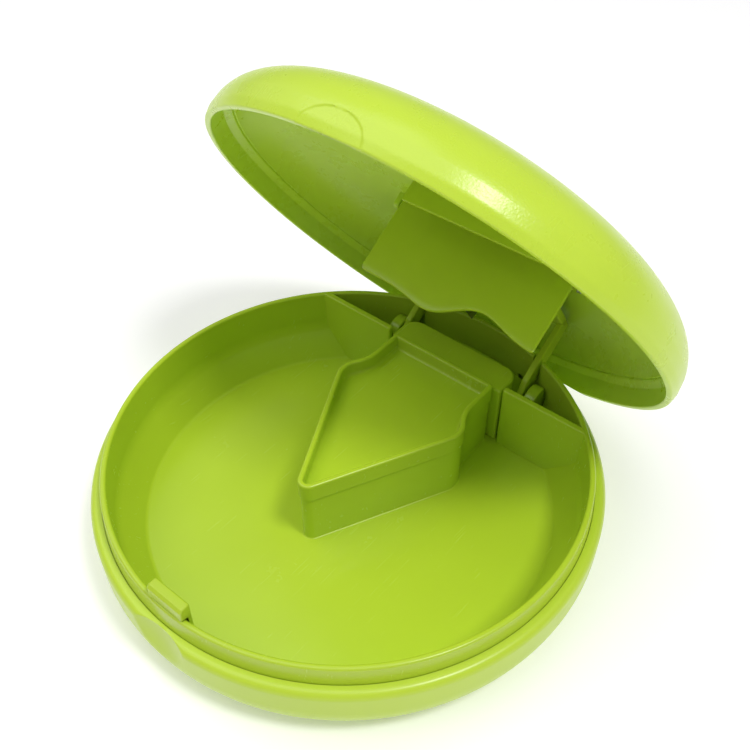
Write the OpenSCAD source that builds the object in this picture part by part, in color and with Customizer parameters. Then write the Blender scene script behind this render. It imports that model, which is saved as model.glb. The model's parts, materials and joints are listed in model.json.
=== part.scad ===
// Round pill splitter: a dish with a raised cutting tray, and a hinged lid with a blade and a blade guard.
// The origin is the centre of the underside, +Z is up and +Y points to the hinge.
// Lid parts are drawn closed and turned up about the hinge pin by opened().

/* [Dish] */
// Outer radius of the dish
dish_r = 45; // [44:0.5:48]
// Height of the ledge that the lid rim rests on
ledge_z = 13.2; // [13:0.1:15]
// Height of the lip above the ledge
lip_h = 3.6; // [3:0.1:4]
// Radius of the flat floor inside
floor_r = 37.2; // [36:0.1:37.4]
// Wall thickness of the outer shell
shell_t = 1.6; // [1.4:0.1:1.6]

/* [Cutting tray] */
// Height of the tray rim above the ledge
tray_rise = 3.9; // [3.6:0.1:4.2]
// Depth of the tray below its rim
tray_depth = 2.8; // [2.6:0.1:2.8]
// Height of the tray piece, down to its seam
tray_h = 3.8; // [3.7:0.1:4.2]
// Thickness of the tray rim
tray_rim = 1.0; // [0.8:0.1:1.2]

/* [Lid] */
// Height of the lid above the ledge
lid_h = 16.7; // [16.6:0.1:17.5]
// Opening angle of the lid as drawn
lid_open_angle = 56.2; // [0:0.1:56.2]

/* [Blade] */
// Length of the cutting edge
blade_len = 11; // [8:0.5:11]
// Thickness of the blade
blade_t = 0.4; // [0.3:0.05:0.5]

/* [Guard] */
// Half width of the guard
guard_half_w = 19; // [18:0.5:19]
// Thickness of the guard sheet
guard_t = 1.0; // [0.8:0.1:1.0]

/* [Hidden] */
round_fn = 96;
small_fn = 32;
wire_fn = 8;
big = 120;

lime = [0.72, 0.87, 0.20];
shade_lime = [0.58, 0.72, 0.14];
steel = [0.62, 0.63, 0.65];

// Dish
corner_r = 8;
ledge_round = 1.3;
lip_r = 42.6;
lip_t = 1.0;
lip_foot_r = 42.95;
ring_r = 43.0;
wall_r = 41.3;
wall_break_z = ledge_z - 4.5;
shell_floor_t = 1.0;
floor_z = 2.5;
part_gap = 0.15;
seat_gap = 0.05;
thumb_half = 5.8;
thumb_depth = 1.4;

// Hinge, as seen from the side: Y and Z of its pin
hinge_y = 37.2;
hinge_z = ledge_z - 6.3;
pin_r = 1.0;
pin_half = 17.3;
pin_fit = 0.02;
pin_run = 0.05;
arm_in = 13.4;
arm_t = 1.3;
arm_out = arm_in + arm_t;
arm_front_y = 29.8;
arm_w = 3.6;
eye_r = 2.6;
slot_gap = 0.5;
block_half = arm_in - slot_gap;
ear_in = arm_out + slot_gap;
ear_t = 2.3;
block_top_z = ledge_z + 2.6;
mount_low_z = hinge_z + 2.9;
mount_front_y = hinge_y - 3.9;
mount_base_z = floor_z + seat_gap;
web_top_z = hinge_z - eye_r - 0.3;
block_back_y = 35;
block_corner_r = 3;
ear_y = 35.6;
ear_r = 3;
pocket_in = 10;
pocket_half = 17.8;
pocket_front_y = hinge_y - 4.2;

// Tray outline: tip arc, shoulder arc, hollow flank and straight back
tip_y = -12.3;
tip_r = 1.9;
shoulder = [9.3, 14.2];
shoulder_r = 4.6;
waist_x = 11.6;
flank_r = 8;
tray_back_y = 28.1;
tray_top_z = ledge_z + tray_rise;
seam_z = tray_top_z - tray_h;
pedestal_inset = 0.3;
pedestal_t = 1.5;

// Partition walls behind the dish
wall_inner_x = 13.4;
wall_t = 1.3;
wall_top_z = ledge_z + 3.7;

// Catch at the front
catch_half = 3.75;
catch_y = -42.3;
catch_t = 2.1;
catch_top_z = ledge_z + 6.2;
catch_step = 1.1;
catch_foot_z = ledge_z - 1.5;
catch_chamfer = 0.7;
catch_room = 0.5;

// Lid
lid_gap = 0.3;
lid_r = 44.8;
lid_in_r = 42.6;
lid_in_h = lid_h - 1.5;
lid_power = 2.86;
lid_steps = 18;
rim_out_r = 44.35;
rim_in_r = 43.3;
rim_step_h = 3.9;
relief_half = 26;
relief_y = 37.5;
relief_slope = 14;
grip_half = 5.4;
grip_depth = 0.5;
boss_r = 2.3;
boss_x = 9;
boss_front_y = 19;
boss_back_y = 28.5;
boss_front_top = 15.0;
boss_back_top = 13.4;
pilot_front_top = 14;
pilot_back_top = 12.6;
screw_front_top = 13.6;
screw_back_top = 12.3;
screw_slot = [2.2, 0.5, 1];
screw_r = 0.9;
screw_head_r = 1.8;
screw_head_h = 1.1;

// Carrier plate under the lid
plate_z = ledge_z + 9.0;
plate_t = 1.6;
plate_front_y = 16.2;
plate_back_y = 31.5;

// Blade and its clamps
edge_z = ledge_z + 1.2;
blade_back_y = 25.2;
blade_top_z = plate_z - 0.2;
bevel_h = 1.0;
clamp_t = 2.0;
clamp_z = ledge_z + 6.4;
rivet_r = 0.7;
rivet_head_r = 1.2;
rivet_head_t = 0.4;
rivet_z = ledge_z + 7.8;
rivet_inset = 2.2;
rivet_ys = [blade_back_y - rivet_inset, blade_back_y - blade_len + rivet_inset];
clamp_end = 0.3;
clamp_tail = 1;

// Guard, its two stub pins and its spring
guard_front_y = 11;
guard_bow = 1.0;
guard_axis_y = 12.2;
guard_axis_z = ledge_z + 12.2;
guard_top_z = ledge_z + 13.6;
guard_crown = 0.65;
trunnion_r = 1.0;
trunnion_in = 17;
guard_pin_r = 0.5;
guard_pin_in = 17.4;
lug_in = 19.3;
lug_t = 1.2;
lug_top_z = ledge_z + 15.0;
hood_half = 14.9;
hood_front_y = 3.8;
hood_t = 1.0;
hood_low_z = ledge_z + 10.9;
spring_gap = 1.8;
spring_wire_r = 0.25;
spring_r = 0.83;
spring_turns = 3;
spring_pitch = 1.9 * spring_wire_r;
spring_leg = 1.2;

function arc(c, r, from, to, steps) =
    [for (i = [0:steps]) let(a = from + (to - from) * i / steps) c + r * [cos(a), sin(a)]];

// Half dome as a power curve from the rim to the apex
function dome(r, h, z0, from, steps) =
    [for (i = [0:steps]) let(a = from + (90 - from) * i / steps)
        [r * pow(cos(a), 2 / lid_power), z0 + h * pow(sin(a), 2 / lid_power)]];

function flip(points) = [for (i = [len(points) - 1:-1:0]) [-points[i][0], points[i][1]]];

// Outline of the tray, drawn in by inset all round
function tray_half(inset) =
    let(
        tip = [0, tip_y + tip_r],
        r1 = tip_r - inset,
        r2 = shoulder_r - inset,
        r3 = flank_r + inset,
        run = shoulder - tip,
        side = atan2(run[1], run[0]) - acos((r1 - r2) / norm(run)),
        flank_dx = waist_x + flank_r - shoulder[0],
        flank_dy = sqrt(pow(shoulder_r + flank_r, 2) - pow(flank_dx, 2)),
        meet = atan2(flank_dy, flank_dx),
        flank = shoulder + [flank_dx, flank_dy]
    )
    concat(
        arc(tip, r1, -90, side, 6),
        arc(shoulder, r2, side, meet, 8),
        arc(flank, r3, meet + 180, 180, 6),
        [[waist_x - inset, tray_back_y - inset]]
    );

module tray_outline(inset) {
    half = tray_half(inset);
    tail = flip(half);
    polygon(concat(half, [for (i = [0:len(tail) - 2]) tail[i]]));
}

module spin(points) {
    rotate_extrude($fn = round_fn) polygon(points);
}

module slab(z0, z1) {
    translate([0, 0, z0]) linear_extrude(z1 - z0) children();
}

module block(x0, x1, y0, y1, z0, z1) {
    translate([x0, y0, z0]) cube([x1 - x0, y1 - y0, z1 - z0]);
}

module both_sides() {
    children();
    mirror([1, 0, 0]) children();
}

// Rod along X
module rod(r, x0, x1, y, z, sides = small_fn) {
    translate([x0, y, z]) rotate([0, 90, 0]) cylinder(h = x1 - x0, r = r, $fn = sides);
}

module opened() {
    translate([0, hinge_y, hinge_z])
        rotate([-lid_open_angle, 0, 0])
            translate([0, -hinge_y, -hinge_z])
                children();
}

// Space between the outer shell and the floor, drawn in by gap
module shell_cavity(gap) {
    r = dish_r - shell_t - gap;
    spin(concat(
        [[0, shell_floor_t + gap], [dish_r - corner_r - 1.5, shell_floor_t + gap]],
        arc([dish_r - corner_r, corner_r], corner_r - shell_t - gap, -90, 0, 8),
        [[r, ledge_z - 1.8 - gap], [ring_r - gap, ledge_z - 1.4 - gap]],
        [[ring_r - gap, ledge_z + 1], [0, ledge_z + 1]]
    ));
}

// Space inside the bowl, drawn in by gap
module bowl_space(gap) {
    spin([
        [0, floor_z],
        [floor_r - gap, floor_z],
        [wall_r - gap, wall_break_z],
        [wall_r - gap, ledge_z + lip_h],
        [0, ledge_z + lip_h]
    ]);
}

// Slots in the bowl's rear wall that the lid arms swing through
module arm_slots() {
    both_sides() block(block_half, ear_in, pocket_front_y + 0.2, big / 2, floor_z, ledge_z + lip_h + 1);
}

// Shallow scoop for a thumb at the front, on a sphere
module thumb_scoop(r, z, depth, half) {
    ball = (half * half + depth * depth) / (2 * depth);
    translate([0, -r - ball + depth, z]) sphere(r = ball, $fn = round_fn);
}

module base_shell() {
    color(lime) difference() {
        spin(concat(
            [[0, 0]],
            arc([dish_r - corner_r, corner_r], corner_r, -90, 0, 10),
            arc([dish_r - ledge_round, ledge_z - ledge_round], ledge_round, 0, 90, 4),
            [[0, ledge_z]]
        ));
        shell_cavity(0);
        thumb_scoop(dish_r, ledge_z, thumb_depth, thumb_half);
    }
}

module inner_bowl() {
    color(shade_lime) {
        difference() {
            spin([
                [0, shell_floor_t + part_gap],
                [dish_r - corner_r - 1.7, shell_floor_t + part_gap],
                [dish_r - corner_r + 1, 1.75],
                [42.3, 7.9],
                [ring_r - seat_gap, wall_break_z + 3],
                [ring_r - seat_gap, ledge_z],
                [lip_foot_r, ledge_z + 0.05],
                [lip_r, ledge_z + lip_h - 0.4],
                [lip_r - 0.3, ledge_z + lip_h],
                [lip_r - lip_t + 0.3, ledge_z + lip_h],
                [lip_r - lip_t, ledge_z + lip_h - 0.4],
                [wall_r, wall_break_z],
                [floor_r, floor_z],
                [0, floor_z]
            ]);
            // pockets for the ears of the hinge mount
            both_sides() block(pocket_in, pocket_half, pocket_front_y, big / 2, floor_z, mount_low_z + 0.3);
            arm_slots();
            // hollow under the pedestal
            slab(0, floor_z + 1) tray_outline(pedestal_inset + pedestal_t);
        }
        difference() {
            slab(floor_z, seam_z) tray_outline(pedestal_inset);
            slab(floor_z - 1, seam_z - 1) tray_outline(pedestal_inset + pedestal_t);
        }
        partition_walls();
    }
}

module partition_walls() {
    intersection() {
        both_sides() block(wall_inner_x, dish_r, tray_back_y, tray_back_y + wall_t, floor_z - 0.5, wall_top_z);
        spin([[0, 2], [floor_r + 0.3, 2], [wall_r + 0.4, wall_break_z], [lip_r - 0.4, ledge_z + lip_h - 0.6],
            [lip_r - lip_t + 0.1, wall_top_z + 0.1], [0, wall_top_z + 0.1]]);
    }
}

module cutting_tray() {
    color(lime) difference() {
        slab(seam_z, tray_top_z) tray_outline(0);
        slab(tray_top_z - tray_depth, tray_top_z + 1) tray_outline(tray_rim);
    }
}

module latch_catch() {
    color(lime) difference() {
        union() {
            block(-catch_half, catch_half, catch_y, catch_y + catch_t, ledge_z + lip_h + seat_gap, catch_top_z);
            block(-catch_half, catch_half, catch_y + catch_step, catch_y + catch_t, catch_foot_z, catch_top_z);
        }
        // slanted outer top edge lets the lid ride over it
        translate([0, catch_y, catch_top_z]) rotate([45, 0, 0])
            cube([big, catch_chamfer, catch_chamfer], center = true);
        // seats against the curved inside of the lip
        difference() {
            cylinder(h = ledge_z + lip_h, r = dish_r, $fn = round_fn);
            cylinder(h = ledge_z + lip_h, r = wall_r - seat_gap, $fn = round_fn);
        }
    }
}

module hinge_mount() {
    base = mount_base_z;
    half = block_half - block_corner_r;
    front_y = tray_back_y + 0.2;
    mid_y = block_back_y - block_corner_r;
    color(shade_lime) difference() {
        intersection() {
            union() {
                block(-block_half, block_half, front_y, mid_y, base, block_top_z);
                block(-half, half, front_y, block_back_y, base, block_top_z);
                both_sides() translate([half, mid_y, base])
                    cylinder(h = block_top_z - base, r = block_corner_r, $fn = small_fn);
                block(-block_half, block_half, front_y, dish_r, base, mount_low_z);
                both_sides() ear();
                // web that joins the block and the ears
                block(-ear_in - ear_t, ear_in + ear_t, mount_front_y, dish_r, base, web_top_z);
            }
            union() {
                bowl_space(part_gap);
                intersection() {
                    shell_cavity(0.2);
                    both_sides() block(pocket_in + part_gap, big / 2, 0, big / 2, 0, mount_low_z);
                }
            }
        }
        rod(pin_r + pin_fit, -big / 2, big / 2, hinge_y, hinge_z);
    }
}

// Upright beside the lid arm, with a rounded top
module ear() {
    block(ear_in, ear_in + ear_t, mount_front_y, dish_r, mount_base_z, mount_low_z);
    block(ear_in, ear_in + ear_t, ear_y - ear_r, ear_y + ear_r, mount_low_z - 1, ledge_z - ear_r);
    rod(ear_r, ear_in, ear_in + ear_t, ear_y, ledge_z - ear_r);
}

module hinge_pin() {
    color(steel) rod(pin_r, -pin_half, pin_half, hinge_y, hinge_z);
}

module lid_shell() {
    rim_z = ledge_z + lid_gap;
    step_z = ledge_z + rim_step_h;
    color(lime) opened() difference() {
        union() {
            difference() {
                spin(concat([[0, rim_z], [rim_out_r, rim_z], [lid_r - 0.1, rim_z + 1.5]],
                    dome(lid_r, lid_h, ledge_z, 8, lid_steps)));
                spin(concat(
                    [[0, rim_z - 1], [rim_in_r, rim_z - 1], [rim_in_r - 0.2, step_z]],
                    dome(lid_in_r, lid_in_h, ledge_z, 12, lid_steps)));
            }
            both_sides() {
                boss(boss_front_y, boss_front_top);
                boss(boss_back_y, boss_back_top);
            }
            guard_lugs();
            guard_hood();
        }
        // room for the catch
        block(-catch_half - catch_room, catch_half + catch_room, catch_y - 0.6, catch_y + 4,
            0, catch_top_z + catch_room);
        rear_relief(rim_z);
        thumb_scoop(lid_r, rim_z, grip_depth, grip_half);
        both_sides() {
            pilot_hole(boss_front_y, pilot_front_top);
            pilot_hole(boss_back_y, pilot_back_top);
        }
        guard_pin_rods(guard_pin_r + pin_run, 0.2);
    }
}

// Slanted cut under the rear rim, so that it clears the dish as the lid swings up
module rear_relief(rim_z) {
    translate([-relief_half, relief_y, rim_z]) rotate([relief_slope, 0, 0]) translate([0, -1, -big / 4])
        cube([2 * relief_half, big / 4, big / 4]);
}

module boss(y, top) {
    translate([boss_x, y, plate_z + plate_t])
        cylinder(h = ledge_z + top - plate_z - plate_t, r = boss_r, $fn = small_fn);
}

module pilot_hole(y, top) {
    translate([boss_x, y, plate_z])
        cylinder(h = ledge_z + top - plate_z, r = screw_r + pin_fit, $fn = small_fn);
}

// Lugs that carry the guard's pins. The right one stands further out and leaves room for the spring.
module guard_lugs() {
    guard_lug(lug_in + spring_gap);
    mirror([1, 0, 0]) guard_lug(lug_in);
}

module guard_lug(x) {
    rod(trunnion_r, x, x + lug_t, guard_axis_y, guard_axis_z);
    intersection() {
        block(x, x + lug_t, guard_axis_y - trunnion_r, guard_axis_y + trunnion_r, guard_axis_z, lug_top_z);
        lid_inside();
    }
}

// Rib across the ceiling that covers the pivots of the guard
module guard_hood() {
    intersection() {
        block(-hood_half, hood_half, hood_front_y, hood_front_y + hood_t, hood_low_z, ledge_z + lid_h);
        lid_inside();
    }
}

// Space under the lid, taken a little into its wall so that parts join it
module lid_inside() {
    spin(concat([[0, ledge_z]], dome(lid_in_r + 0.5, lid_in_h + 0.5, ledge_z, 12, lid_steps)));
}

// Rods along the two guard pins, longer by extra at their outer ends
module guard_pin_rods(r, extra) {
    rod(r, guard_pin_in, lug_in + spring_gap + lug_t + extra, guard_axis_y, guard_axis_z);
    rod(r, -lug_in - lug_t - extra, -guard_pin_in, guard_axis_y, guard_axis_z);
}

module blade_carrier() {
    color(shade_lime) opened() {
        difference() {
            block(-arm_out, arm_out, plate_front_y, plate_back_y, plate_z, plate_z + plate_t);
            both_sides() for (y = [boss_front_y, boss_back_y])
                translate([boss_x, y, plate_z - 1])
                    cylinder(h = plate_t + 2, r = screw_r + pin_fit, $fn = small_fn);
        }
        both_sides() lid_arm();
    }
}

// Arm that reaches down to the hinge pin
module lid_arm() {
    difference() {
        union() {
            translate([arm_in, 0, 0]) rotate([90, 0, 90]) linear_extrude(arm_t) polygon([
                [arm_front_y, plate_z + plate_t],
                [arm_front_y, hinge_z + 2.4],
                [arm_front_y + 1.8, hinge_z - 1.8],
                [hinge_y, hinge_z - eye_r],
                [hinge_y, hinge_z + eye_r],
                [arm_front_y + arm_w, hinge_z + 4],
                [arm_front_y + arm_w, plate_z + plate_t]
            ]);
            rod(eye_r, arm_in, arm_out, hinge_y, hinge_z);
        }
        rod(pin_r + pin_run, arm_in - 1, arm_out + 1, hinge_y, hinge_z);
    }
}

module carrier_screws() {
    color(steel) opened() both_sides() {
        carrier_screw(boss_front_y, screw_front_top);
        carrier_screw(boss_back_y, screw_back_top);
    }
}

module carrier_screw(y, top) {
    head_z = plate_z - screw_head_h;
    translate([boss_x, y, head_z]) difference() {
        union() {
            cylinder(h = screw_head_h, r = screw_head_r, $fn = small_fn);
            cylinder(h = ledge_z + top - head_z, r = screw_r, $fn = small_fn);
        }
        for (turn = [0, 90]) rotate(turn) cube(screw_slot, center = true);
    }
}

module blade() {
    half = blade_t / 2;
    color(steel) opened() difference() {
        translate([0, blade_back_y, 0]) rotate([90, 0, 0]) linear_extrude(blade_len) polygon([
            [0, edge_z], [half, edge_z + bevel_h], [half, blade_top_z],
            [-half, blade_top_z], [-half, edge_z + bevel_h]
        ]);
        rivet_rods(rivet_r + pin_fit, 3);
    }
}

module rivet_rods(r, reach) {
    for (y = rivet_ys) rod(r, -reach, reach, y, rivet_z);
}

module blade_clamp() {
    inner = blade_t / 2 + pin_fit;
    difference() {
        block(inner, inner + clamp_t, blade_back_y - blade_len - clamp_end, blade_back_y + clamp_tail, clamp_z,
            plate_z - pin_fit);
        rivet_rods(rivet_r + pin_fit, 5);
    }
}

module blade_clamp_left() {
    color(shade_lime) opened() mirror([1, 0, 0]) blade_clamp();
}

module blade_clamp_right() {
    color(shade_lime) opened() blade_clamp();
}

module blade_rivets() {
    reach = blade_t / 2 + pin_fit + clamp_t;
    color(steel) opened() {
        rivet_rods(rivet_r, reach + rivet_head_t);
        both_sides() for (y = rivet_ys)
            rod(rivet_head_r, reach + pin_fit, reach + rivet_head_t, y, rivet_z);
    }
}

// Plan line of the guard: it bows back between its two side edges
function guard_y(x) = guard_front_y + guard_bow * (1 - pow(x / guard_half_w, 2));

// Lower edge of the guard above the ledge: a lobe left of the middle and a notch right of it
function guard_edge(x) =
    -2.35
    + 3.72 * exp(-pow((x - 4.4) / 8.6, 2))
    - 3.2 * exp(-pow((x + 1.5) / 6.5, 2));

// Upper edge of the guard, which follows the inside of the lid
function guard_crest(x) = guard_top_z + guard_crown * (1 - pow(x / guard_half_w, 2));

module guard_sheet() {
    steps = 30;
    xs = [for (i = [0:steps]) guard_half_w * (2 * i / steps - 1)];
    front = [for (x = xs) [x, guard_y(x)]];
    back = [for (i = [steps:-1:0]) [xs[i], guard_y(xs[i]) + guard_t]];
    face = concat(
        [for (x = xs) [x, ledge_z + guard_edge(x)]],
        [for (i = [steps:-1:0]) [xs[i], guard_crest(xs[i])]]
    );
    intersection() {
        slab(ledge_z - 8, lug_top_z + 1) polygon(concat(front, back));
        translate([0, 20, 0]) rotate([90, 0, 0]) linear_extrude(15) polygon(face);
    }
}

module blade_guard() {
    color(lime) opened() difference() {
        union() {
            guard_sheet();
            both_sides() rod(trunnion_r, trunnion_in, guard_half_w, guard_axis_y, guard_axis_z);
        }
        guard_pin_rods(guard_pin_r + pin_fit, 0);
    }
}

module guard_pins() {
    color(steel) opened() guard_pin_rods(guard_pin_r, 0);
}

module guard_spring() {
    middle_x = lug_in + spring_gap / 2;
    color(steel) opened() {
        for (i = [0:spring_turns - 1])
            translate([middle_x + (i - (spring_turns - 1) / 2) * spring_pitch, guard_axis_y, guard_axis_z])
                rotate([0, 90, 0])
                    rotate_extrude($fn = round_fn)
                        translate([spring_r, 0]) circle(r = spring_wire_r, $fn = wire_fn);
        // leg that bears on the lid
        translate([middle_x + spring_pitch, guard_axis_y + spring_r, guard_axis_z])
            cylinder(h = spring_leg, r = spring_wire_r, $fn = wire_fn);
    }
}

base_shell();
inner_bowl();
cutting_tray();
latch_catch();
hinge_mount();
hinge_pin();
lid_shell();
blade_carrier();
carrier_screws();
blade_clamp_left();
blade_clamp_right();
blade();
blade_rivets();
blade_guard();
guard_pins();
guard_spring();
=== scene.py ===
"""Looks of the pill splitter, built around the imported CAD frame. Shapes are in mm and placed in metres."""
import json
import math

import bmesh
import bpy
from mathutils import Matrix, Vector


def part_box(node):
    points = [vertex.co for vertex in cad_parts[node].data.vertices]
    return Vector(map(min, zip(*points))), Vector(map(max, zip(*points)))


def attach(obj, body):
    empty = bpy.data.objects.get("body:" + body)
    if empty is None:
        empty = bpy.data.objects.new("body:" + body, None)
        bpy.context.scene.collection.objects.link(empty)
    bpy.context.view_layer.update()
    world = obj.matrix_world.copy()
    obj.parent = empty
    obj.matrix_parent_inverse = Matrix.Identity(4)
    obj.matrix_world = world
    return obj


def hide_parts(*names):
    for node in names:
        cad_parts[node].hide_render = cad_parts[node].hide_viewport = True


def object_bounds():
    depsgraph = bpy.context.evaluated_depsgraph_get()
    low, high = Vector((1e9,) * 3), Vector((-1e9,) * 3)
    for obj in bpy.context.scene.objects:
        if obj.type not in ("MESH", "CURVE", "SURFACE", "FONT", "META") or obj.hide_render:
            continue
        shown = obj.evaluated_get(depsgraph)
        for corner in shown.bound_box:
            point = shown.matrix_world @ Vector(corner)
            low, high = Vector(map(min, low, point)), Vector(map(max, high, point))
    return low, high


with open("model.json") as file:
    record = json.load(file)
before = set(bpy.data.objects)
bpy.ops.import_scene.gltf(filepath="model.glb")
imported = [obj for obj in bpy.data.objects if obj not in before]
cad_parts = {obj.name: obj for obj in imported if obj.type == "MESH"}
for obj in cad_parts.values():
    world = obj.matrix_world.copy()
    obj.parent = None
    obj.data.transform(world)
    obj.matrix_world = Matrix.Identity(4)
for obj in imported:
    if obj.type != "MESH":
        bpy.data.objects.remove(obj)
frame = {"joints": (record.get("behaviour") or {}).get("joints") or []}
cad_low, cad_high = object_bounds()


def box_mm(node):
    low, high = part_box(node)
    return low * 1000, high * 1000


joints = {j["name"]: j for j in frame["joints"]}

# ---------------------------------------------------------------- main sizes, in mm
shell_low, shell_high = box_mm("base_shell")
LEDGE = shell_high.z
DISH_R = shell_high.x - 0.01
RING_R = 43.0
FLOOR_Z = 2.5
FLOOR_R = 37.2
WALL_R = 41.3
WALL_BREAK_Z = LEDGE - 4.5
LIP_TOP = LEDGE + 3.6
HINGE_Y, HINGE_Z = (joints["lid_hinge"]["pos_m"][i] * 1000 for i in (1, 2))
OPEN_ANGLE = math.radians(56.2)
MOUNT_LOW_TOP = HINGE_Z + 2.9
ARM_IN, ARM_OUT = 13.4, 14.7
BLOCK_HALF = 12.9
EAR_IN, EAR_OUT = 15.2, 17.5
TRAY_TOP = box_mm("cutting_tray")[1].z
SEAM_Z = box_mm("cutting_tray")[0].z
TRAY_FLOOR = TRAY_TOP - 2.8
LID_GAP = 0.3
RIM_Z = LEDGE + LID_GAP
LID_R, LID_H = 44.77, 16.68
LID_IN_R, LID_IN_H = 42.6, 15.2
DOME_POWER = 2.86
PLATE_Z = LEDGE + 9.0
PLATE_TOP = PLATE_Z + 1.6
BOSS_X = 9.0
BOSS_YS = (19.0, 28.5)
GUARD_HALF = 19.0
GUARD_AXIS = (12.2, LEDGE + 12.2)
LUG_IN, LUG_T, SPRING_GAP = 19.3, 1.2, 1.8
RIVET_YS = (23.0, 16.4)
RIVET_Z = LEDGE + 7.8

hinge_point = Vector((0, HINGE_Y, HINGE_Z)) / 1000
to_hinge = Matrix.Translation(hinge_point)
OPENED = to_hinge @ Matrix.Rotation(-OPEN_ANGLE, 4, "X") @ Matrix.Translation(-hinge_point)


# ---------------------------------------------------------------- outlines
def arc(cx, cy, r, start, end, steps):
    """Points of an arc, angles in degrees."""
    out = []
    for i in range(steps + 1):
        a = math.radians(start + (end - start) * i / steps)
        out.append((cx + r * math.cos(a), cy + r * math.sin(a)))
    return out


def filleted(points, radii, steps=5, closed=True):
    """The polyline with its corners rounded. radii is one number, or one for each corner."""
    n = len(points)
    if not hasattr(radii, "__len__"):
        radii = [radii] * n
    out = []
    for i, point in enumerate(points):
        p = Vector(point)
        if radii[i] <= 0 or (not closed and i in (0, n - 1)):
            out.append(tuple(p))
            continue
        to_last = Vector(points[i - 1]) - p
        to_next = Vector(points[(i + 1) % n]) - p
        half = to_last.angle(to_next) / 2
        if half > 1.56:  # nearly straight, so there is no corner to round
            out.append(tuple(p))
            continue
        run = min(radii[i] / math.tan(half), 0.49 * to_last.length, 0.49 * to_next.length)
        r = run * math.tan(half)
        centre = p + (to_last.normalized() + to_next.normalized()).normalized() * (r / math.sin(half))
        a, b = p + to_last.normalized() * run - centre, p + to_next.normalized() * run - centre
        turn = a.angle_signed(b)
        for k in range(steps + 1):
            out.append(tuple(centre + Matrix.Rotation(-turn * k / steps, 2) @ a))
    return out


def dense(points, step, closed=True):
    """The polyline with no part longer than step."""
    out = []
    pairs = len(points) if closed else len(points) - 1
    for i in range(pairs):
        a, b = Vector(points[i]), Vector(points[(i + 1) % len(points)])
        parts = max(1, math.ceil((b - a).length / step))
        out += [tuple(a.lerp(b, k / parts)) for k in range(parts)]
    if not closed:
        out.append(points[-1])
    return out


def drawn_in(points, d):
    """A counter-clockwise outline drawn in by d."""
    out = []
    n = len(points)
    for i in range(n):
        a, p, b = Vector(points[i - 1]), Vector(points[i]), Vector(points[(i + 1) % n])
        n1 = Vector((-(p - a).y, (p - a).x)).normalized()
        n2 = Vector((-(b - p).y, (b - p).x)).normalized()
        mid = (n1 + n2).normalized()
        out.append(tuple(p + mid * (d / max(0.35, mid.dot(n1)))))
    return out


def counter_clockwise(points):
    pairs = zip([points[-1]] + points[:-1], points)
    area = sum(a[0] * b[1] - b[0] * a[1] for a, b in pairs)
    return points if area > 0 else points[::-1]


# ---------------------------------------------------------------- solids as (vertices, faces)
def loft(rings, closed_along=False):
    """Skin through rings of equal length. The ends are capped unless it closes on itself."""
    n = len(rings[0])
    verts = [p for ring in rings for p in ring]
    faces = []
    spans = len(rings) if closed_along else len(rings) - 1
    for i in range(spans):
        a, b = i * n, ((i + 1) % len(rings)) * n
        for k in range(n):
            j = (k + 1) % n
            faces.append((a + k, a + j, b + j, b + k))
    if not closed_along:
        faces.append(tuple(range(n))[::-1])
        faces.append(tuple(range((len(rings) - 1) * n, len(rings) * n)))
    return verts, faces


def combined(*solids):
    verts, faces = [], []
    for v, f in solids:
        start = len(verts)
        verts += v
        faces += [tuple(i + start for i in face) for face in f]
    return verts, faces


def mirrored(solid):
    verts, faces = solid
    return [(-x, y, z) for x, y, z in verts], [face[::-1] for face in faces]


def both_sides(solid):
    return combined(solid, mirrored(solid))


def pad(outline, low, high, edge, along="z", steps=4):
    """An outline pulled along an axis, with both end edges rounded by edge.
    The outline is in (x, y) for z, in (y, z) for x and in (x, z) for y."""
    outline = counter_clockwise(outline)
    rings = []
    for i in range(steps + 1):
        a = math.pi / 2 * i / steps
        rings.append((edge * (1 - math.sin(a)), low + edge * (1 - math.cos(a))))
    rings += [(d, high + low - h) for d, h in rings[::-1]]
    place = {
        "z": lambda u, v, w: (u, v, w),
        "x": lambda u, v, w: (w, u, v),
        "y": lambda u, v, w: (u, w, v),
    }[along]
    return loft([[place(u, v, w) for u, v in drawn_in(outline, d)] for d, w in rings])


def slab(x0, x1, y0, y1, z0, z1, edge=0.3):
    """A box with every edge rounded."""
    corners = [(x0, y0), (x1, y0), (x1, y1), (x0, y1)]
    return pad(filleted(corners, edge * 1.2, 4), z0, z1, edge)


def sharp_box(x0, x1, y0, y1, z0, z1):
    return loft([[(x0, y0, z), (x1, y0, z), (x1, y1, z), (x0, y1, z)] for z in (z0, z1)])


def even_angles(steps):
    return [2 * math.pi * i / steps for i in range(steps)]


def spun(profile, angles):
    """A closed (radius, z) profile turned about Z."""
    rings = [[(r * math.cos(a), r * math.sin(a), z) for r, z in profile] for a in angles]
    return loft(rings, closed_along=True)


def rod(profile, y, z, steps=40):
    """An open (x, radius) profile turned about an axis along X through y, z."""
    rings = [
        [(x, y + r * math.cos(a), z + r * math.sin(a)) for a in even_angles(steps)]
        for x, r in profile
    ]
    return loft(rings)


def rounded_rod(x0, x1, r, y, z, edge, steps=40):
    turns = [math.pi / 8 * k for k in range(5)]
    ends = [(edge * (1 - math.cos(a)), r - edge * (1 - math.sin(a))) for a in turns]
    profile = [(x0 + dx, rr) for dx, rr in ends] + [(x1 - dx, rr) for dx, rr in ends[::-1]]
    return rod(profile, y, z, steps)


def stud(profile, x, y, steps=40):
    """An open (radius, z) profile turned about a line along Z through x, y."""
    rings = [[(x + r * math.cos(a), y + r * math.sin(a), z) for a in even_angles(steps)] for r, z in profile]
    return loft(rings)


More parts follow.
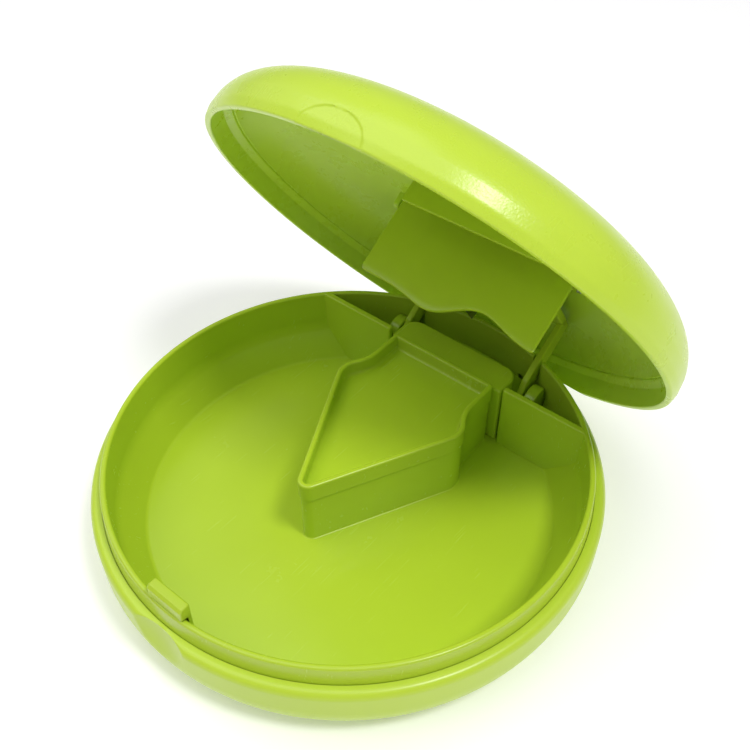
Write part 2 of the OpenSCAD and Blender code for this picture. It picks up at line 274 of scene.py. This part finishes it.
# ---------------------------------------------------------------- objects
def mesh_object(name, solid):
    verts, faces = solid
    mesh = bpy.data.meshes.new(name)
    mesh.from_pydata([(x / 1000, y / 1000, z / 1000) for x, y, z in verts], [], faces)
    bm = bmesh.new()
    bm.from_mesh(mesh)
    bmesh.ops.remove_doubles(bm, verts=bm.verts, dist=1e-7)
    bmesh.ops.dissolve_degenerate(bm, edges=bm.edges, dist=1e-8)
    bmesh.ops.recalc_face_normals(bm, faces=bm.faces)
    bm.to_mesh(mesh)
    bm.free()
    obj = bpy.data.objects.new(name, mesh)
    bpy.context.scene.collection.objects.link(obj)
    return obj


def cut(obj, solid, operation="DIFFERENCE"):
    """Applies an exact boolean with a closed solid."""
    tool = mesh_object(obj.name + "_tool", solid)
    step = obj.modifiers.new("cut", "BOOLEAN")
    step.operation = operation
    step.solver = "EXACT"
    step.use_self = False
    step.object = tool
    depsgraph = bpy.context.evaluated_depsgraph_get()
    made = bpy.data.meshes.new_from_object(obj.evaluated_get(depsgraph))
    obj.modifiers.clear()
    obj.data = made
    bpy.data.objects.remove(tool)
    return obj


def piece(obj, material, body, nodes, lid=False, sharp=38):
    """Finishes a piece: place, smooth shading, material, body and the nodes it stands for."""
    if lid:
        obj.data.transform(OPENED)
    mesh = obj.data
    mesh.polygons.foreach_set("use_smooth", [True] * len(mesh.polygons))
    mesh.set_sharp_from_angle(angle=math.radians(sharp))
    even = obj.modifiers.new("even_normals", "WEIGHTED_NORMAL")
    even.keep_sharp = True
    mesh.materials.clear()
    mesh.materials.append(material)
    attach(obj, body)
    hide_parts(*nodes)
    return obj


# ---------------------------------------------------------------- materials
def new_material(name):
    """A material with a principled shader: returns it, a way to add nodes, a way to link them, the shader."""
    material = bpy.data.materials.new(name)
    material.use_nodes = True
    tree = material.node_tree
    tree.nodes.clear()
    link = tree.links.new

    def add(kind, **values):
        made = tree.nodes.new(kind)
        for key, value in values.items():
            if key in made.inputs:
                made.inputs[key].default_value = value
            else:
                setattr(made, key, value)
        return made

    out = add("ShaderNodeOutputMaterial")
    shader = add("ShaderNodeBsdfPrincipled")
    link(shader.outputs["BSDF"], out.inputs["Surface"])
    return material, add, link, shader


def plastic(name, colour, deep, gloss, grain, grain_scale):
    """Glossy moulded plastic: soft colour drift, uneven gloss, faint waves, fine grain and hairline rubs."""
    material, add, link, shader = new_material(name)
    coords = add("ShaderNodeTexCoord").outputs["Object"]

    drift = add("ShaderNodeTexNoise", Scale=38.0, Detail=3.0, Roughness=0.5)
    link(coords, drift.inputs["Vector"])
    tint = add("ShaderNodeValToRGB")
    tint.color_ramp.elements[0].position = 0.3
    tint.color_ramp.elements[1].position = 0.7
    tint.color_ramp.elements[0].color = (*deep, 1)
    tint.color_ramp.elements[1].color = (*colour, 1)
    link(drift.outputs["Fac"], tint.inputs["Fac"])
    link(tint.outputs["Color"], shader.inputs["Base Color"])

    # rubs: noise drawn out into long thin marks, kept only where it is high
    stretch = add("ShaderNodeMapping")
    stretch.inputs["Rotation"].default_value = (0.4, 0.2, 0.9)
    stretch.inputs["Scale"].default_value = (2600, 90, 700)
    link(coords, stretch.inputs["Vector"])
    rubs = add("ShaderNodeTexNoise", Scale=1.0, Detail=2.0, Roughness=0.6)
    link(stretch.outputs["Vector"], rubs.inputs["Vector"])
    rub_level = add("ShaderNodeMapRange")
    rub_level.inputs["From Min"].default_value = 0.62
    rub_level.inputs["From Max"].default_value = 0.80
    rub_level.inputs["To Max"].default_value = 0.045
    link(rubs.outputs["Fac"], rub_level.inputs["Value"])

    cloud = add("ShaderNodeTexNoise", Scale=160.0, Detail=4.0, Roughness=0.6)
    link(coords, cloud.inputs["Vector"])
    cloud_level = add("ShaderNodeMapRange")
    cloud_level.inputs["To Min"].default_value = gloss - 0.05
    cloud_level.inputs["To Max"].default_value = gloss + 0.07
    link(cloud.outputs["Fac"], cloud_level.inputs["Value"])
    rough = add("ShaderNodeMath", operation="ADD")
    link(cloud_level.outputs["Result"], rough.inputs[0])
    link(rub_level.outputs["Result"], rough.inputs[1])
    link(rough.outputs["Value"], shader.inputs["Roughness"])

    waves = add("ShaderNodeTexNoise", Scale=130.0, Detail=1.0)
    link(coords, waves.inputs["Vector"])
    fine = add("ShaderNodeTexNoise", Scale=grain_scale, Detail=2.0)
    link(coords, fine.inputs["Vector"])
    wave_bump = add("ShaderNodeBump", Strength=0.12)
    wave_bump.inputs["Distance"].default_value = 0.0004
    link(waves.outputs["Fac"], wave_bump.inputs["Height"])
    fine_bump = add("ShaderNodeBump", Strength=grain)
    fine_bump.inputs["Distance"].default_value = 0.00012
    link(fine.outputs["Fac"], fine_bump.inputs["Height"])
    link(wave_bump.outputs["Normal"], fine_bump.inputs["Normal"])
    link(fine_bump.outputs["Normal"], shader.inputs["Normal"])

    shader.inputs["IOR"].default_value = 1.50
    shader.inputs["Specular IOR Level"].default_value = 0.5
    shader.inputs["Subsurface Weight"].default_value = 0.12
    shader.inputs["Subsurface Radius"].default_value = (0.9, 1.0, 0.15)
    shader.inputs["Subsurface Scale"].default_value = 0.0012
    return material


def steel(name, light, dark, rough, along):
    """Ground or drawn steel, with fine lines along one axis and dull patches."""
    material, add, link, shader = new_material(name)
    shader.inputs["Metallic"].default_value = 1.0
    coords = add("ShaderNodeTexCoord").outputs["Object"]
    stretch = add("ShaderNodeMapping")
    stretch.inputs["Scale"].default_value = along
    link(coords, stretch.inputs["Vector"])
    lines = add("ShaderNodeTexNoise", Scale=1.0, Detail=3.0)
    link(stretch.outputs["Vector"], lines.inputs["Vector"])
    tint = add("ShaderNodeValToRGB")
    tint.color_ramp.elements[0].color = (*dark, 1)
    tint.color_ramp.elements[1].color = (*light, 1)
    link(lines.outputs["Fac"], tint.inputs["Fac"])
    link(tint.outputs["Color"], shader.inputs["Base Color"])
    dull = add("ShaderNodeTexNoise", Scale=300.0, Detail=2.0)
    link(coords, dull.inputs["Vector"])
    level = add("ShaderNodeMapRange")
    level.inputs["To Min"].default_value = rough - 0.06
    level.inputs["To Max"].default_value = rough + 0.12
    link(dull.outputs["Fac"], level.inputs["Value"])
    link(level.outputs["Result"], shader.inputs["Roughness"])
    bump = add("ShaderNodeBump", Strength=0.25)
    bump.inputs["Distance"].default_value = 0.00002
    link(lines.outputs["Fac"], bump.inputs["Height"])
    link(bump.outputs["Normal"], shader.inputs["Normal"])
    return material


lid_plastic = plastic(
    "lid_plastic", (0.60, 0.80, 0.06), (0.57, 0.765, 0.055), gloss=0.27, grain=0.22, grain_scale=2600)
dish_plastic = plastic(
    "dish_plastic", (0.55, 0.73, 0.05), (0.525, 0.70, 0.045), gloss=0.30, grain=0.05, grain_scale=1500)
# The inner copy is the dish's lime made darker. It is painted shade for the inside of the dish, and the bowl,
# tray, pedestal, partitions, catch and hinge mount all use it.
inner_plastic = plastic(
    "inner_plastic", (0.49, 0.66, 0.036), (0.465, 0.63, 0.032), gloss=0.24, grain=0.04, grain_scale=1500)
# The guard copy is darker still. It is painted shade for the parts under the open lid: the guard, hood, blade
# holder and clamps.
guard_plastic = plastic(
    "guard_plastic", (0.505, 0.655, 0.034), (0.48, 0.625, 0.032), gloss=0.20, grain=0.03, grain_scale=1500)
blade_steel = steel("blade_steel", (0.42, 0.42, 0.44), (0.22, 0.22, 0.24), rough=0.30, along=(60, 90, 2600))
pin_steel = steel("pin_steel", (0.62, 0.62, 0.64), (0.42, 0.42, 0.44), rough=0.28, along=(90, 1800, 1800))


# ---------------------------------------------------------------- dish
def front_dense_angles(spread):
    """Angles round Z that are close together near the front, where a scoop is cut."""
    near_steps, far_steps = 80, 220
    front = -math.pi / 2
    near = math.radians(spread)
    far = 2 * math.pi - 2 * near
    fine = [front - near + 2 * near * i / near_steps for i in range(near_steps)]
    return fine + [front + near + far * i / far_steps for i in range(far_steps)]


def scooped(solid, surface_r, z, depth, half, soft=0.2):
    """Presses the outer face in by a ball, with a softened edge."""
    ball = (half * half + depth * depth) / (2 * depth)
    centre_y = -surface_r - ball + depth
    front_y, face_r = -30, surface_r - 1.9
    verts = []
    for x, y, h in solid[0]:
        left = ball * ball - x * x - (h - z) ** 2
        if y < front_y and left > 0 and math.hypot(x, y) > face_r:
            pressed = centre_y + math.sqrt(left)
            blend = max(soft - abs(pressed - y), 0) / soft
            y = max(y, pressed) + blend * blend * soft / 4
        verts.append((x, y, h))
    return verts, solid[1]


def arched(solid, half, high, edge_depth, dish_depth):
    """Sinks an arch at the front of the lid's rim, with a crisp step at its outline and a dished middle."""
    front_y, face_r, step_share = -43.0, 43.95, 0.07
    verts = []
    for x, y, z in solid[0]:
        rise = max(z - LEDGE - LID_GAP, 0)
        inside = 1 - (x / half) ** 2 - (rise / high) ** 2
        if inside > 0 and y < front_y and math.hypot(x, y) > face_r:
            y += edge_depth * min(inside / step_share, 1) + dish_depth * inside
        verts.append((x, y, z))
    return verts, solid[1]


def shell_profile():
    corner, wall, edge = 8, 1.6, 1.3
    inner_r = DISH_R - wall
    outer = [(0, 0), (28.0, 0)] + arc(DISH_R - corner, corner, corner, -90, 0, 20)
    outer += [(DISH_R, corner + 0.15 * i) for i in range(1, 26)]
    outer += arc(DISH_R - edge, LEDGE - edge, edge, 0, 90, 10)
    inner = [(RING_R + 0.04, LEDGE), (RING_R, LEDGE - 0.06), (RING_R, LEDGE - 1.4), (inner_r, LEDGE - 1.8)]
    inner += [(inner_r, corner)] + arc(DISH_R - corner, corner, corner - wall, 0, -90, 12)[1:]
    return outer + inner + [(35.5, 1.0), (0, 1.0)]


def arm_slots(z0):
    right = sharp_box(BLOCK_HALF, EAR_IN, HINGE_Y - 4, 60, z0, LIP_TOP + 2)
    return both_sides(right)


plain_shell = spun(shell_profile(), front_dense_angles(9))
shell = mesh_object("dish_shell", scooped(plain_shell, DISH_R, LEDGE, depth=1.4, half=6.4))
piece(shell, dish_plastic, "dish", ["base_shell"])


def bowl_profile():
    seat_r = 42.95
    points = [
        (0, 1.15), (35.3, 1.15), (38.0, 1.75), (42.3, 7.9),
        (seat_r, WALL_BREAK_Z + 3), (seat_r, LEDGE), (seat_r, LEDGE + 0.05),
        (42.6, LIP_TOP), (41.6, LIP_TOP), (WALL_R, WALL_BREAK_Z), (FLOOR_R, FLOOR_Z), (0, FLOOR_Z),
    ]
    radii = [0, 0, 0.5, 2, 0, 0, 0, 0.42, 0.42, 5.0, 0.9, 0]
    return filleted(points, radii, 8)


bowl = mesh_object("dish_bowl", spun(bowl_profile(), even_angles(288)))
cut(bowl, arm_slots(FLOOR_Z))
cut(bowl, both_sides(sharp_box(10, 17.8, HINGE_Y - 4.2, 60, FLOOR_Z, HINGE_Z + 3.2)))
piece(bowl, inner_plastic, "dish", ["inner_bowl"])


def tray_outline(inset):
    """Shield outline of the tray, counter-clockwise from the tip, drawn in by inset."""
    tip_y, tip_r, shoulder, shoulder_r = -10.4, 1.9, Vector((9.3, 14.2)), 4.6
    waist_x, flank_r, back_y, corner = 11.6, 8.0, 28.1, 1.0
    r1, r2, r3 = tip_r - inset, shoulder_r - inset, flank_r + inset
    run = shoulder - Vector((0, tip_y))
    side = math.degrees(math.atan2(run.y, run.x) - math.acos((r1 - r2) / run.length))
    flank_dx = waist_x + flank_r - shoulder.x
    flank_dy = math.sqrt((shoulder_r + flank_r) ** 2 - flank_dx ** 2)
    meet = math.degrees(math.atan2(flank_dy, flank_dx))
    rc = max(corner - inset, 0.05)
    half = arc(0, tip_y, r1, -90, side, 14)[1:]
    half += arc(*shoulder, r2, side, meet, 18)
    half += arc(shoulder.x + flank_dx, shoulder.y + flank_dy, r3, meet + 180, 180, 14)[1:]
    half += arc(waist_x - inset - rc, back_y - inset - rc, rc, 0, 90, 6)
    return [(0, tip_y - r1)] + half + [(-x, y) for x, y in half[::-1]]


def tray_rings(levels):
    return [[(x, y, z) for x, y in tray_outline(inset)] for inset, z in levels]


def quarter(inset, z, r, start, end, steps=5):
    """Levels that round an edge: a quarter circle about (inset, z)."""
    return [(inset + r * math.cos(a), z + r * math.sin(a))
            for a in (math.radians(start + (end - start) * i / steps) for i in range(steps + 1))]


tray_levels = quarter(0.22, SEAM_Z + 0.22, 0.22, 270, 180)
tray_levels += quarter(0.38, TRAY_TOP - 0.38, 0.38, 180, 90)
tray_levels += quarter(0.64, TRAY_TOP - 0.38, 0.38, 90, 0)
tray_levels += quarter(1.75, TRAY_FLOOR + 0.7, 0.7, 180, 270)
tray = mesh_object("tray_cap", loft(tray_rings(tray_levels)))
piece(tray, inner_plastic, "dish", ["cutting_tray"])

foot_levels = [(0.0, FLOOR_Z - 0.6)] + quarter(0.0, FLOOR_Z + 0.28, 0.3, 270, 360)
foot_levels += quarter(0.5, SEAM_Z - 0.2, 0.2, 180, 90)
pedestal = mesh_object("tray_pedestal", loft(tray_rings(foot_levels)))
piece(pedestal, inner_plastic, "dish", ["inner_bowl"])


def partition():
    """One wall behind the dish, whose outer end stays inside the bowl's wall."""
    inner_x, low, top, edge = 13.4, FLOOR_Z - 0.5, LEDGE + 3.7, 0.35
    corners = [(inner_x, low), (24.5, low), (31.5, WALL_BREAK_Z), (32.5, top), (inner_x, top)]
    outline = filleted(corners, [0, 0, 0, 0, edge], 5)
    verts, faces = pad(dense(outline, 0.8), 28.1, 29.4, edge, "y")
    limited = []
    for x, y, z in verts:
        share = min(max((z - FLOOR_Z) / (WALL_BREAK_Z - FLOOR_Z), 0), 1)
        reach = FLOOR_R + 0.5 + (WALL_R - FLOOR_R + 0.3) * share
        reach -= max(z - LEDGE - 3.1, 0) * 0.7
        limited.append((min(x, math.sqrt(reach * reach - y * y)), y, z))
    return limited, faces


partitions = mesh_object("partition_walls", both_sides(partition()))
piece(partitions, inner_plastic, "dish", ["inner_bowl"])


def catch():
    top = LEDGE + 6.2
    front, back, foot_y = -42.25, -40.2, -41.3
    outline = [(front, LEDGE + 3.55), (foot_y, LEDGE + 3.3), (foot_y, LEDGE - 1.4), (back, LEDGE - 1.4),
               (back, top), (front + 0.5, top), (front, top - 0.55)]
    return pad(filleted(outline, [0.1, 0.1, 0.3, 0.3, 0.35, 0.25, 0.25], 4), -3.75, 3.75, 0.35, "x")


piece(mesh_object("front_catch", catch()), inner_plastic, "dish", ["latch_catch"])


def hinge_block():
    corners = [(-BLOCK_HALF, 28.3), (BLOCK_HALF, 28.3), (BLOCK_HALF, 35), (-BLOCK_HALF, 35)]
    top = pad(filleted(corners, [0.6, 0.6, 3, 3], 8), FLOOR_Z + 0.05, LEDGE + 2.6, 0.5)

    def low_ring(z, inset=0.0):
        share = min((z - FLOOR_Z) / (WALL_BREAK_Z - FLOOR_Z), 1)
        reach = FLOOR_R - 0.25 + (WALL_R - FLOOR_R) * share - inset
        half = BLOCK_HALF - 0.01 - inset
        edge = math.degrees(math.acos(half / reach))
        back = arc(0, 0, reach, edge, 180 - edge, 24)
        return [(-half, 28.6 + inset, z), (half, 28.6 + inset, z)] + [(x, y, z) for x, y in back]

    low = loft([low_ring(FLOOR_Z + 0.05), low_ring(WALL_BREAK_Z), low_ring(MOUNT_LOW_TOP - 0.3),
                low_ring(MOUNT_LOW_TOP - 0.09, 0.09), low_ring(MOUNT_LOW_TOP, 0.3)])
    return combined(top, low)


def hinge_ear():
    top_y, top_r, wall_r = 35.6, 3, 41.1
    outline = [(33.3, FLOOR_Z + 0.1), (35.8, FLOOR_Z + 0.1), (38.0, 5.2), (39.2, 8.0), (39.2, MOUNT_LOW_TOP)]
    outline += [(top_y + top_r, MOUNT_LOW_TOP)] + arc(top_y, LEDGE - top_r, top_r, 0, 180, 18)
    outline += [(top_y - top_r, MOUNT_LOW_TOP), (33.3, MOUNT_LOW_TOP - 0.8)]
    verts, faces = pad(dense(outline, 0.6), EAR_IN, EAR_OUT, 0.3, "x")
    limited = []
    for x, y, z in verts:
        above = z > MOUNT_LOW_TOP + 0.05
        limited.append((x, min(y, math.sqrt(wall_r ** 2 - x * x)) if above else y, z))
    return limited, faces


piece(mesh_object("hinge_block", hinge_block()), inner_plastic, "dish", ["hinge_mount"])
hinge_ears = both_sides(hinge_ear())
piece(mesh_object("hinge_ears", hinge_ears), inner_plastic, "dish", ["hinge_mount"])
hinge_rod = rounded_rod(-17.3, 17.3, 1.0, HINGE_Y, HINGE_Z, 0.25)
piece(mesh_object("hinge_rod", hinge_rod), pin_steel, "dish", ["hinge_pin"])


# ---------------------------------------------------------------- lid, drawn closed and then opened
def dome(r, h, start, steps):
    """Half of a dome's outline as (radius, z), from an angle above the rim up to the middle."""
    out = []
    for i in range(steps + 1):
        a = math.radians(start + (90 - start) * i / steps)
        radius = r * max(math.cos(a), 0.0) ** (2 / DOME_POWER)
        out.append((radius, LEDGE + h * math.sin(a) ** (2 / DOME_POWER)))
    out[-1] = (0.0, LEDGE + h)
    return out


def lid_profile():
    rim_mid = 43.8
    rim = [(rim_mid, RIM_Z), (44.35, RIM_Z), (44.68, RIM_Z + 1.5), (44.47, LEDGE + 4.2)]
    outer = dense(filleted(rim, [0, 0.3, 2.5, 0], 6, False), 0.16, False)
    outer += dome(LID_R, LID_H, 8, 80)[1:]
    inner = dome(LID_IN_R, LID_IN_H, 12, 64)[::-1]
    ceiling_end = inner[-1]
    step = [(ceiling_end[0] + 0.3, LEDGE + 5.6), ceiling_end, (43.1, LEDGE + 3.9), (43.3, RIM_Z),
            (rim_mid, RIM_Z)]
    return outer + inner[:-1] + filleted(step, [0, 0.4, 0.35, 0.28, 0], 5, False)[1:-1]


plain_lid = spun(lid_profile(), front_dense_angles(8.5))
lid = mesh_object("lid_dome", arched(plain_lid, half=5.6, high=4.0, edge_depth=0.16, dish_depth=0.22))

# the slanted relief at the rear of the rim, then the recess for the catch
relief_y, relief_run, relief_slope = 37.5, 22, math.radians(14)
relief_rise = relief_run * math.tan(relief_slope)
relief = [(relief_y, RIM_Z), (relief_y, RIM_Z - 6), (relief_y + relief_run, RIM_Z - 6),
          (relief_y + relief_run, RIM_Z + relief_rise)]
cut(lid, loft([[(x, y, z) for y, z in relief] for x in (-26, 26)]))
cut(lid, sharp_box(-4.25, 4.25, -42.9, -36, LEDGE - 4, LEDGE + 6.7))
piece(lid, lid_plastic, "lid", ["lid_shell"], lid=True)


def boss(y, top):
    """A post from the carrier's plate up to the ceiling, flared where it joins."""
    r = 2.3
    profile = [(r - 0.25, PLATE_TOP), (r, PLATE_TOP + 0.25)]
    profile += [(r, top - 1.6), (r + 0.15, top - 0.9), (r + 0.7, top)]
    return stud(profile, BOSS_X, y)


def guard_lug(x):
    y, z = GUARD_AXIS
    r, top = 1.0, LEDGE + 14.3
    outline = arc(y, z, r, 180, 360, 18) + [(y + r, top), (y - r, top)]
    return pad(outline, x, x + LUG_T, 0.2, "x")


def guard_hood():
    """The rib across the ceiling in front of the guard's pivots. Its top is sunk into the ceiling."""
    half, front, back, low = 14.9, 3.8, 4.8, LEDGE + 10.9
    foot_r, end_r, sunk, steps = 0.15, 0.3, 0.3, 60
    rings = []
    for i in range(steps + 1):
        x = -half + 2 * half * i / steps
        trim = max(end_r - (half - abs(x)), 0) / 2
        share = 1 - (math.hypot(x, back) / LID_IN_R) ** DOME_POWER
        top = LEDGE + LID_IN_H * share ** (1 / DOME_POWER) + sunk
        y0, y1 = front + trim, back - trim
        ring = arc(y0 + foot_r, low + foot_r, foot_r, 180, 270, 3)
        ring += arc(y1 - foot_r, low + foot_r, foot_r, 270, 360, 3) + [(y1, top), (y0, top)]
        rings.append([(x, y, z) for y, z in ring])
    return loft(rings)


lid_inside = combined(
    both_sides(combined(boss(BOSS_YS[0], LEDGE + 14.9), boss(BOSS_YS[1], LEDGE + 13.3))),
    guard_lug(LUG_IN + SPRING_GAP), mirrored(guard_lug(LUG_IN)))
piece(mesh_object("lid_bosses", lid_inside), lid_plastic, "lid", ["lid_shell"], lid=True)
# The hood belongs to the lid but takes the guard's darker copy of the plastic. This is painted shade, so it
# blends into the guard.
piece(mesh_object("lid_hood", guard_hood()), guard_plastic, "lid", ["lid_shell"], lid=True)


def carrier_arm():
    front, width = 29.8, 3.6
    outline = [(front, PLATE_TOP - 0.1), (front, HINGE_Z + 2.4), (front + 1.8, HINGE_Z - 1.8)]
    outline += arc(HINGE_Y, HINGE_Z, 2.6, 262, 460, 26)
    outline += [(front + width, HINGE_Z + 4), (front + width, PLATE_TOP - 0.1)]
    return pad(filleted(outline, 0.6, 3), ARM_IN, ARM_OUT, 0.28, "x")


carrier = combined(slab(-ARM_OUT, ARM_OUT, 16.2, 31.5, PLATE_Z, PLATE_TOP, 0.35), both_sides(carrier_arm()))
piece(mesh_object("blade_holder", carrier), guard_plastic, "lid", ["blade_carrier"],
      lid=True)


def screw(y):
    head_r, thread_r, seat = 1.8, 0.9, PLATE_Z
    profile = [(head_r - 0.35, seat - 1.1), (head_r - 0.1, seat - 0.98), (head_r, seat - 0.75)]
    profile += [(head_r, seat), (thread_r, seat + 0.02), (thread_r, seat + 3)]
    return stud(profile, BOSS_X, y, 36)


def cross_bar(y, half_x, half_y, depth):
    """One bar of the cross recess in a pair of screw heads."""
    x0, x1 = BOSS_X - half_x, BOSS_X + half_x
    return both_sides(sharp_box(x0, x1, y - half_y, y + half_y, PLATE_Z - 1.4, PLATE_Z - depth))


screws = mesh_object("carrier_screws_set", both_sides(combined(*[screw(y) for y in BOSS_YS])))
for y in BOSS_YS:
    cut(screws, cross_bar(y, 1.05, 0.25, 0.6))
    cut(screws, cross_bar(y, 0.25, 1.05, 0.62))
piece(screws, pin_steel, "lid", ["carrier_screws"], lid=True)


def blade_body():
    """A ground blade: flat sides and a double bevel down to the edge."""
    edge, top, half_t, edge_half_t, bevel = LEDGE + 1.2, PLATE_Z - 0.2, 0.2, 0.012, 1.0
    right = [(edge_half_t, edge), (half_t, edge + bevel), (half_t, top)]
    section = right + [(-x, z) for x, z in right[::-1]]
    rings = []
    for y, short in [(14.2, 0.14), (14.34, 0.0), (25.06, 0.0), (25.2, 0.14)]:
        rings.append([(x * (1 - short), y, z + (short if z < edge + 0.5 else 0)) for x, z in section])
    return loft(rings)


blade = mesh_object("blade_plate", blade_body())
piece(blade, blade_steel, "lid", ["blade"], lid=True, sharp=12)

clamp = slab(0.22, 2.22, 13.9, 26.2, LEDGE + 6.4, PLATE_Z, 0.3)
piece(mesh_object("clamp_right", clamp), guard_plastic, "lid", ["blade_clamp_right"],
      lid=True)
piece(mesh_object("clamp_left", mirrored(clamp)), guard_plastic, "lid", ["blade_clamp_left"],
      lid=True)


def rivet(y):
    head = [(2.62, 0.62), (2.6, 0.9), (2.52, 1.1), (2.4, 1.2), (2.23, 1.2), (2.22, 0.7)]
    profile = [(-x, r) for x, r in head] + head[::-1]
    return rod(profile, y, RIVET_Z, 32)


rivets = combined(*[rivet(y) for y in RIVET_YS])
piece(mesh_object("blade_rivets_set", rivets), pin_steel, "lid", ["blade_rivets"], lid=True)


# ---------------------------------------------------------------- guard
def guard_bow(x):
    """1 in the middle of the guard and 0 at its ends."""
    return 1 - (x / GUARD_HALF) ** 2


def guard_front(x):
    return 11 + guard_bow(x)


def guard_edge(x):
    """Height of the wavy lower edge: a wide lobe right of the middle, less a notch left of it."""
    lobe = 3.72 * math.exp(-((x - 4.4) / 8.6) ** 2)
    notch = 3.2 * math.exp(-((x + 1.5) / 6.5) ** 2)
    return LEDGE - 2.35 + lobe - notch


def guard_crest(x):
    return LEDGE + 13.6 + 0.65 * guard_bow(x)


def guard_sheet():
    """The bowed sheet, as rings in YZ at stations along X. Its lower corners and its edges are rounded."""
    corner, edge, thick = 0.8, 0.32, 1.0
    inner = GUARD_HALF - corner
    side = [(inner + corner * math.sin(a), a) for a in (math.pi / 2 * i / 14 for i in range(15))]
    stations = [(-x, a) for x, a in side[::-1]]
    stations += [(-inner + 2 * inner * i / 110, 0.0) for i in range(1, 110)]
    stations += side
    rings = []
    for x, a in stations:
        lift = corner * (1 - math.cos(a)) * (1.4 if x < 0 else 0.7)
        near_end = GUARD_HALF - abs(x)
        trim = edge - math.sqrt(max(edge ** 2 - (edge - near_end) ** 2, 0)) if near_end < edge else 0.0
        y0, y1 = guard_front(x) + trim, guard_front(x) + thick - trim
        low = guard_edge(x) + lift + trim * 0.5
        top = guard_crest(x) - trim * 0.5
        soft = max(edge - trim, 0.03)
        ring = arc(y0 + soft, low + soft, soft, 180, 270, 5) + arc(y1 - soft, low + soft, soft, 270, 360, 5)
        ring += [(y1, low + (top - low) * k / 12) for k in range(1, 12)]
        ring += arc(y1 - soft, top - soft, soft, 0, 90, 3) + arc(y0 + soft, top - soft, soft, 90, 180, 3)
        ring += [(y0, low + (top - low) * k / 12) for k in range(11, 0, -1)]
        rings.append([(x, y, z) for y, z in ring])
    return loft(rings)


axis_y, axis_z = GUARD_AXIS
flap = mesh_object("guard_flap", guard_sheet())
piece(flap, guard_plastic, "guard", ["blade_guard"], lid=True)
trunnions = mesh_object("guard_trunnions", both_sides(rounded_rod(17.0, 19.0, 1.0, axis_y, axis_z, 0.2)))
piece(trunnions, guard_plastic, "guard", ["blade_guard"], lid=True)
pin_end, pin_r = 17.6, 0.5
pin_right = rounded_rod(pin_end, LUG_IN + SPRING_GAP + LUG_T, pin_r, axis_y, axis_z, 0.12, 28)
pin_left = rounded_rod(-LUG_IN - LUG_T, -pin_end, pin_r, axis_y, axis_z, 0.12, 28)
pins = mesh_object("guard_stub_pins", combined(pin_left, pin_right))
piece(pins, pin_steel, "lid", ["guard_pins"], lid=True)


def coil():
    """A torsion spring: a helix round the right pin, and a leg that bears on the lid."""
    wire, r, turns, pitch = 0.25, 0.83, 2.25, 0.51
    start_x = LUG_IN + SPRING_GAP / 2 - pitch * turns / 2
    steps = 90
    line = []
    for i in range(steps + 1):
        a = math.pi / 2 - 2 * math.pi * turns * (1 - i / steps)
        x = start_x + pitch * turns * i / steps
        line.append(Vector((x, axis_y + r * math.sin(a), axis_z + r * math.cos(a))))
    line += [line[-1] + Vector((0, 0, 0.2 * k)) for k in range(1, 6)]
    rings = []
    for i, p in enumerate(line):
        tangent = (line[min(i + 1, len(line) - 1)] - line[max(i - 1, 0)]).normalized()
        side = tangent.cross(Vector((1, 0, 0))).normalized()
        up = side.cross(tangent)
        rings.append([tuple(p + wire * (math.cos(a) * side + math.sin(a) * up)) for a in even_angles(12)])
    return loft(rings)


piece(mesh_object("guard_coil", coil()), pin_steel, "lid", ["guard_spring"], lid=True)


# ---------------------------------------------------------------- stage, light and camera
def area_light(name, place, aim, size, power):
    lamp = bpy.data.lights.new(name, "AREA")
    lamp.shape = "RECTANGLE"
    lamp.size, lamp.size_y = size
    lamp.energy = power
    obj = bpy.data.objects.new(name, lamp)
    bpy.context.scene.collection.objects.link(obj)
    obj.location = place
    obj.rotation_mode = "QUATERNION"
    obj.rotation_quaternion = (aim - place).to_track_quat("-Z", "Y")


bpy.ops.mesh.primitive_plane_add(size=6, location=(0, 0, -0.00003))
floor = bpy.context.object
floor.name = "floor"
paper, _, _, paper_shader = new_material("floor_paper")
paper_shader.inputs["Roughness"].default_value = 0.6
paper_shader.inputs["Base Color"].default_value = (0.93, 0.93, 0.93, 1)
paper_shader.inputs["Specular IOR Level"].default_value = 0.2
paper_shader.inputs["Emission Color"].default_value = (1, 1, 1, 1)
paper_shader.inputs["Emission Strength"].default_value = 0.20
floor.data.materials.append(paper)

world = bpy.data.worlds.new("studio")
world.use_nodes = True
backdrop = world.node_tree.nodes["Background"]
backdrop.inputs["Color"].default_value = (1, 1, 1, 1)
backdrop.inputs["Strength"].default_value = 0.26
bpy.context.scene.world = world

middle = (cad_low + cad_high) / 2
area_light("overhead", middle + Vector((0.36, 0.0, 0.72)), middle, (0.17, 0.17), 2.9)
area_light("soft_top", middle + Vector((-0.26, -0.16, 0.82)), middle, (0.9, 0.9), 4.1)
area_light("left_box", middle + Vector((-0.65, 0.05, 0.45)), middle, (0.5, 0.6), 0.35)

camera_data = bpy.data.cameras.new("camera")
camera_data.lens = 44.23
camera_data.sensor_width = 36
camera_data.clip_start, camera_data.clip_end = 0.005, 20
camera = bpy.data.objects.new("camera", camera_data)
bpy.context.scene.collection.objects.link(camera)
azimuth, elevation, distance = math.radians(39.39), math.radians(44.31), 0.1785
level = math.cos(elevation)
away = Vector((math.sin(azimuth) * level, -math.cos(azimuth) * level, math.sin(elevation)))
target = Vector((-9.76, 19.15, LEDGE)) / 1000
camera.location = target + away * distance
camera.rotation_mode = "QUATERNION"
camera.rotation_quaternion = (-away).to_track_quat("-Z", "Y")
bpy.context.scene.camera = camera
bpy.context.scene.view_settings.view_transform = "Standard"
